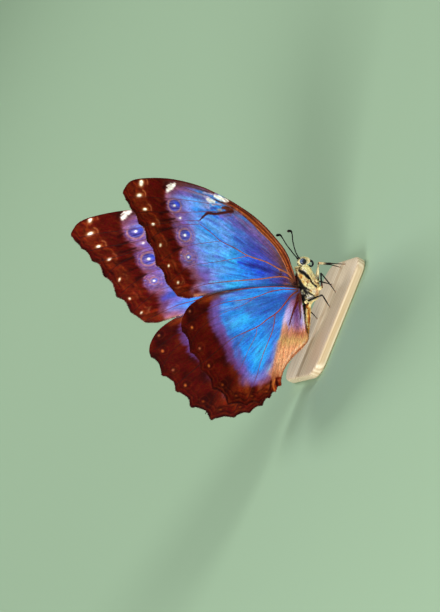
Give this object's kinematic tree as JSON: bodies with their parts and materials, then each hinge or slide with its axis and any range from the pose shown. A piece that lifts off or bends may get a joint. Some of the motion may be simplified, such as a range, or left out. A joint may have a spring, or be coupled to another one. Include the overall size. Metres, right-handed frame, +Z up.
{
  "type": "blue morpho butterfly model",
  "caption": "Life-size blue morpho butterfly standing on a low plate with its broad iridescent wings held up in a narrow V.",
  "frame": {"origin": "bottom centre of the whole model, on the underside of the stand's plate", "axes": "+X along the floor towards the head, +Y to the animal's left, +Z up"},
  "size_m": [0.061, 0.0502, 0.081],
  "materials": {
    "wing": "iridescent blue scales with a dark brown margin",
    "body_hair": "short cream hair with black bands",
    "abdomen_hair": "short straw hair with dark stripes",
    "eye": "glossy faceted dome",
    "dark_chitin": "satin, finely ringed",
    "leg": "satin with fine scales",
    "stand_wood": "pale, fine grained, satin"
  },
  "bodies": {
    "root": {"thorax": "body_hair", "abdomen": "abdomen_hair", "head": "body_hair", "palp_right": "body_hair", "palp_left": "body_hair", "proboscis": "dark_chitin", "eye_right": "eye", "eye_left": "eye", "antenna_right": "dark_chitin", "antenna_left": "dark_chitin", "forewing_right": "wing", "forewing_left": "wing", "hindwing_right": "wing", "hindwing_left": "wing", "leg_fore_right_femur": "leg", "leg_fore_right_tibia": "leg", "leg_fore_right_tarsus": "leg", "leg_fore_left_femur": "leg", "leg_fore_left_tibia": "leg", "leg_fore_left_tarsus": "leg", "leg_mid_right_femur": "leg", "leg_mid_right_tibia": "leg", "leg_mid_right_tarsus": "leg", "leg_mid_left_femur": "leg", "leg_mid_left_tibia": "leg", "leg_mid_left_tarsus": "leg", "leg_hind_right_femur": "leg", "leg_hind_right_tibia": "leg", "leg_hind_right_tarsus": "leg", "leg_hind_left_femur": "leg", "leg_hind_left_tibia": "leg", "leg_hind_left_tarsus": "leg", "stand_base": "stand_wood"}
  },
  "joints": []
}
